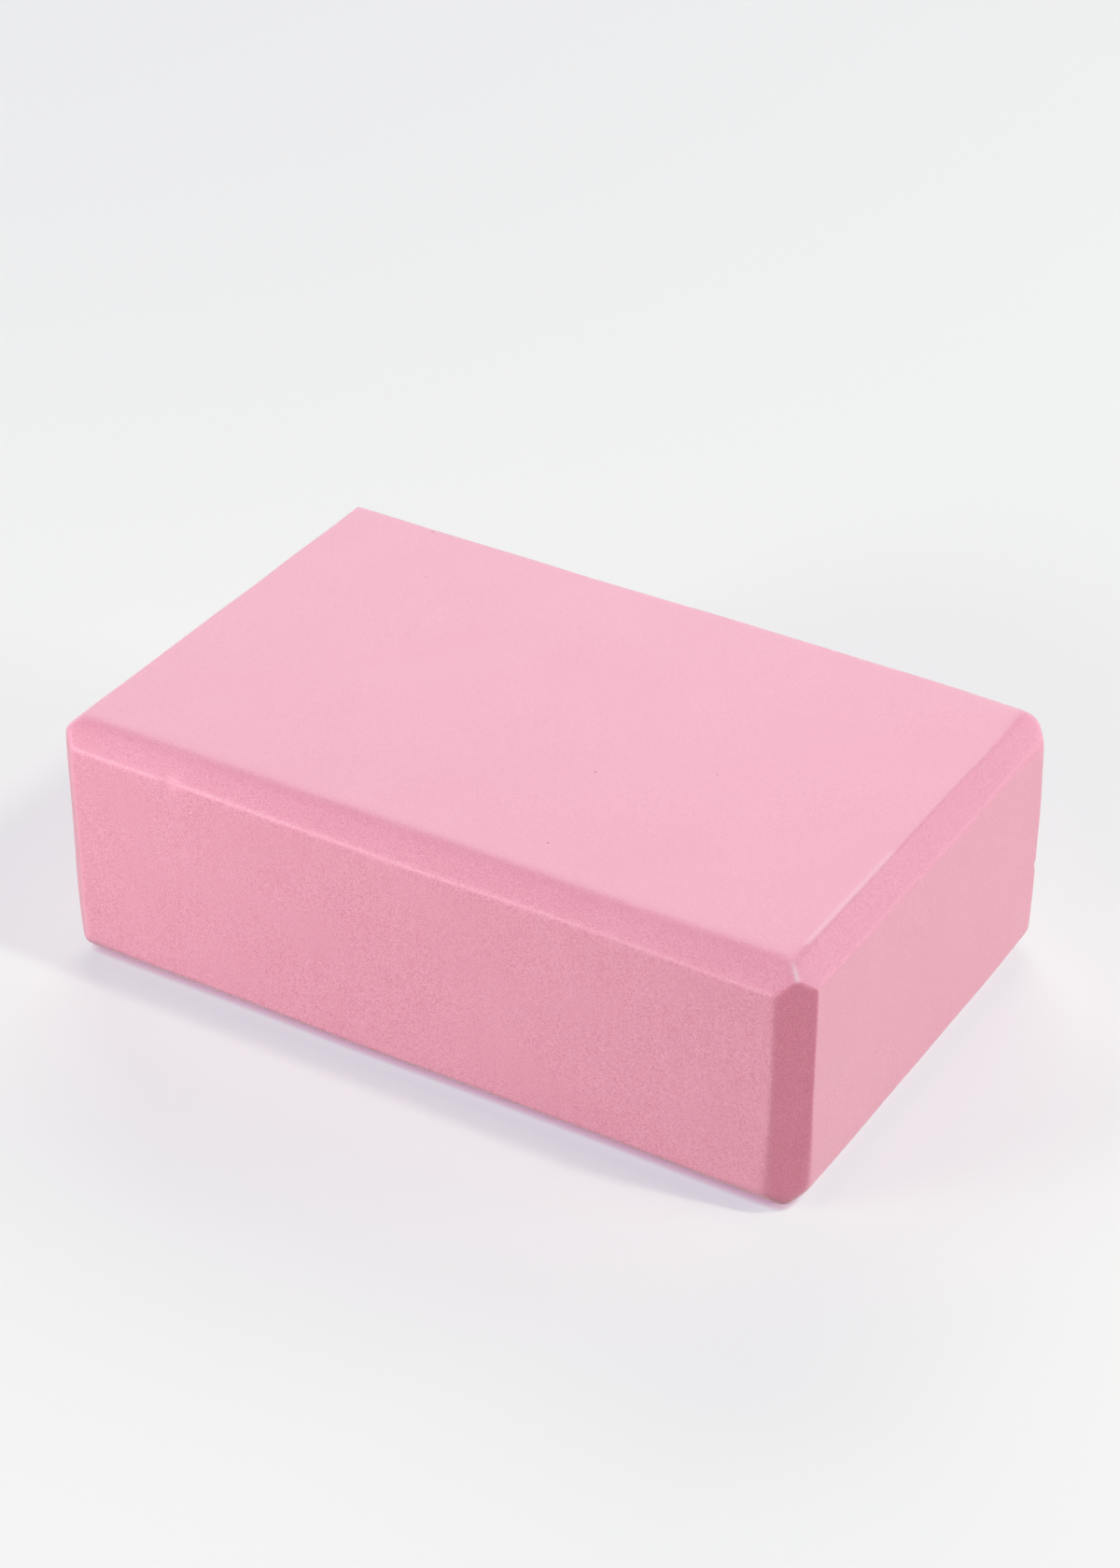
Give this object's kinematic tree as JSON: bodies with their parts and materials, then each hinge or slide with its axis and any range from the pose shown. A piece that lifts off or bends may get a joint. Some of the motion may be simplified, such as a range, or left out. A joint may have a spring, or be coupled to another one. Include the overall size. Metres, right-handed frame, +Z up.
{
  "type": "yoga block",
  "caption": "Firm foam brick with bevelled, softly rounded edges, used as a support for a hand, foot, seat or back in yoga and pilates.",
  "frame": {"origin": "centre of the underside, on the surface that the block lies on", "axes": "+X along the length, +Y across the width and away from the long side that the picture shows, +Z up through the thickness"},
  "size_m": [0.225, 0.145, 0.075],
  "materials": {
    "foam": "matte"
  },
  "bodies": {
    "root": {"foam_block": "foam"}
  },
  "joints": []
}
